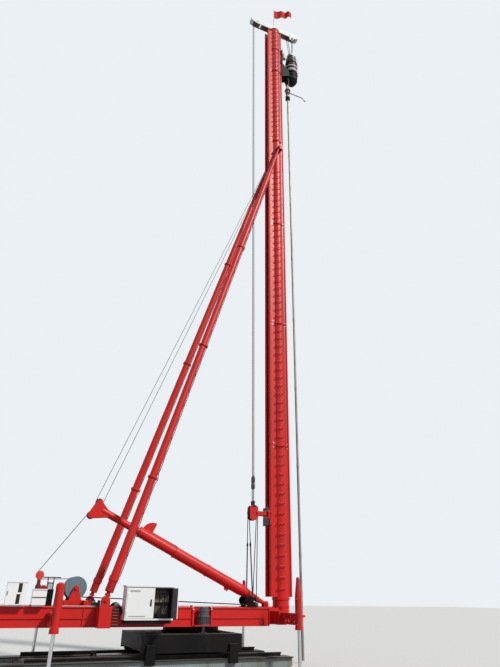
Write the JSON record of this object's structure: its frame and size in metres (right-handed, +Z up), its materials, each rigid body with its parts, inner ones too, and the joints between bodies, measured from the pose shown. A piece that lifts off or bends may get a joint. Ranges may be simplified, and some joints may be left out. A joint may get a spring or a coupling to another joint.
{
  "type": "pile driver rig",
  "caption": "Walking pile driver rig: long shoe, slewing deck, tall tube mast with two tilt stays, power head with drill rod, hoist block, raising pole, winch and jacks.",
  "frame": {"origin": "on the ground under the slewing axis, on the underside of the shoe's middle cross-member", "axes": "+X forward to the mast, +Y left, +Z up"},
  "size_m": [10.7114, 5.2596, 31.899],
  "materials": {
    "red_paint": "bright vermilion enamel, chalked and scuffed at edges",
    "black_paint": "black paint with dust",
    "worn_steel": "worn dark grey steel plate",
    "greased_steel": "dark greased steel",
    "grey_steel": "dull grey rolled steel",
    "chrome_rod": "plated rod",
    "grey_paint": "blue-grey machine enamel",
    "white_paint": "white powder coat, slightly soiled",
    "cream_plastic": "cream and grey switchgear",
    "silver_paint": "dull silver-white paint"
  },
  "bodies": {
    "boat": {"boat_pontoons": "worn_steel", "boat_crossmembers": "black_paint", "boat_rails": "worn_steel", "walk_rod": "chrome_rod"},
    "chassis": {"chassis_frame": "black_paint", "roller_brackets": "black_paint", "walk_barrel": "black_paint", "slew_ring_lower": "greased_steel"},
    "front_rollers": {"rollers_front": "greased_steel"},
    "rear_rollers": {"rollers_rear": "greased_steel"},
    "deck": {"slew_ring_upper": "greased_steel", "deck_main_beams": "red_paint", "deck_crossbeams": "red_paint", "deck_plates": "red_paint", "stay_crossbeam": "red_paint", "mast_foot_frame": "red_paint", "outrigger_arms": "red_paint", "jack_housings": "red_paint", "pole_foot_bracket": "red_paint", "hoist_base_sheaves": "black_paint", "rod_guide": "red_paint", "slew_drives": "grey_paint", "rear_winch_base": "red_paint", "cabinet_shelf": "black_paint", "cabinet_body": "white_paint", "cabinet_gear": "cream_plastic", "rear_cabinets": "white_paint", "sheave_stand": "red_paint", "lever_console": "black_paint"},
    "pinion_l": {"slew_pinion_left": "greased_steel"},
    "pinion_r": {"slew_pinion_right": "greased_steel"},
    "jack_fl": {"jack_front_left": "chrome_rod"},
    "jack_fr": {"jack_front_right": "chrome_rod"},
    "jack_rl": {"jack_rear_left": "chrome_rod"},
    "jack_rr": {"jack_rear_right": "chrome_rod"},
    "winch_drum": {"rear_drum": "grey_paint"},
    "door_left": {"cabinet_door_left": "white_paint"},
    "door_right": {"cabinet_door_right": "white_paint"},
    "pole": {"raising_pole": "red_paint", "pole_head": "red_paint"},
    "mast": {"mast_tube": "red_paint", "mast_rails_front": "red_paint", "mast_rails_rear": "red_paint", "mast_crosshead": "silver_paint", "crosshead_sheaves": "greased_steel", "stay_brackets": "red_paint"},
    "stay_l": {"stay_left": "red_paint"},
    "stay_r": {"stay_right": "red_paint"},
    "screw_l": {"stay_screw_left": "greased_steel"},
    "screw_r": {"stay_screw_right": "greased_steel"},
    "power_head": {"head_slide": "black_paint", "head_gearbox": "black_paint", "head_motor": "red_paint", "swivel": "black_paint"},
    "rod": {"drill_rod": "grey_steel"},
    "block": {"hoist_block": "red_paint", "block_slider": "red_paint"}
  },
  "joints": [
    {"name": "walk", "type": "slide", "parent": "boat", "child": "chassis", "axis": [1, 0, 0], "range_m": [-0.8, 0.8]},
    {"name": "front_roller_spin", "type": "hinge", "parent": "chassis", "child": "front_rollers", "pos_m": [0.865, 0, 0.5403], "axis": [0, 1, 0], "continuous": true},
    {"name": "rear_roller_spin", "type": "hinge", "parent": "chassis", "child": "rear_rollers", "pos_m": [-1.495, 0, 0.5403], "axis": [0, 1, 0], "continuous": true},
    {"name": "slew", "type": "hinge", "parent": "chassis", "child": "deck", "pos_m": [0, 0, 0.95], "axis": [0, 0, 1], "range_deg": [-10, 10]},
    {"name": "pinion_left_turn", "type": "hinge", "parent": "deck", "child": "pinion_l", "pos_m": [0.06, 0.93608, 0.92], "axis": [0, 0, 1], "range_deg": [-88, 88]},
    {"name": "pinion_right_turn", "type": "hinge", "parent": "deck", "child": "pinion_r", "pos_m": [0.06, -0.93608, 0.92], "axis": [0, 0, 1], "range_deg": [-88, 88]},
    {"name": "jack_fl_lift", "type": "slide", "parent": "deck", "child": "jack_fl", "axis": [0, 0, 1], "range_m": [-0.2, 0.4]},
    {"name": "jack_fr_lift", "type": "slide", "parent": "deck", "child": "jack_fr", "axis": [0, 0, 1], "range_m": [-0.2, 0.4]},
    {"name": "jack_rl_lift", "type": "slide", "parent": "deck", "child": "jack_rl", "axis": [0, 0, 1], "range_m": [-0.2, 0.4]},
    {"name": "jack_rr_lift", "type": "slide", "parent": "deck", "child": "jack_rr", "axis": [0, 0, 1], "range_m": [-0.2, 0.4]},
    {"name": "winch_spin", "type": "hinge", "parent": "deck", "child": "winch_drum", "pos_m": [-3.49, 0, 2.01], "axis": [0, 1, 0], "continuous": true},
    {"name": "door_left_swing", "type": "hinge", "parent": "deck", "child": "door_left", "pos_m": [-2.294, -1.512, 1.65], "axis": [0, 0, -1], "range_deg": [0, 110]},
    {"name": "door_right_swing", "type": "hinge", "parent": "deck", "child": "door_right", "pos_m": [-1.036, -1.512, 1.65], "axis": [0, 0, 1], "range_deg": [-90, 20]},
    {"name": "mast_tilt", "type": "hinge", "parent": "deck", "child": "mast", "pos_m": [3, 0, 1.3], "axis": [0, -1, 0], "range_deg": [-1.5, 3]},
    {"name": "pole_follow", "type": "hinge", "parent": "deck", "child": "pole", "pos_m": [2.44, 0, 1.65], "axis": [0, -1, 0], "range_deg": [-2, 4]},
    {"name": "stay_l_pin", "type": "hinge", "parent": "mast", "child": "stay_l", "pos_m": [3, 0.4, 21], "axis": [0.1991, 0.9799, -0.0144], "range_deg": [-0.2, 0.4]},
    {"name": "stay_l_screw", "type": "slide", "parent": "stay_l", "child": "screw_l", "axis": [0.2887, -0.0446, 0.9564], "range_m": [-0.18, 0.32]},
    {"name": "stay_r_pin", "type": "hinge", "parent": "mast", "child": "stay_r", "pos_m": [3, -0.4, 21], "axis": [-0.1991, 0.9799, 0.0144], "range_deg": [-0.2, 0.4]},
    {"name": "stay_r_screw", "type": "slide", "parent": "stay_r", "child": "screw_r", "axis": [0.2887, 0.0446, 0.9564], "range_m": [-0.18, 0.32]},
    {"name": "head_slide_down", "type": "slide", "parent": "mast", "child": "power_head", "axis": [0, 0, -1], "range_m": [0, 20]},
    {"name": "rod_spin", "type": "hinge", "parent": "power_head", "child": "rod", "pos_m": [3.76, 0, 10], "axis": [0, 0, 1], "continuous": true},
    {"name": "block_hoist", "type": "slide", "parent": "mast", "child": "block", "axis": [0, 0, 1], "range_m": [0, 20]}
  ],
  "couplings": [
    {"joint": "pole_follow", "follows": "mast_tilt", "ratio": 1},
    {"joint": "stay_l_pin", "follows": "mast_tilt", "ratio": 0.0612},
    {"joint": "stay_l_screw", "follows": "mast_tilt", "m_per_rad": 5.6931},
    {"joint": "stay_r_pin", "follows": "mast_tilt", "ratio": 0.0612},
    {"joint": "stay_r_screw", "follows": "mast_tilt", "m_per_rad": 5.6931},
    {"joint": "pinion_left_turn", "follows": "slew", "ratio": 8.5714},
    {"joint": "pinion_right_turn", "follows": "slew", "ratio": 8.5714},
    {"joint": "block_hoist", "follows": "head_slide_down", "ratio": 1}
  ]
}
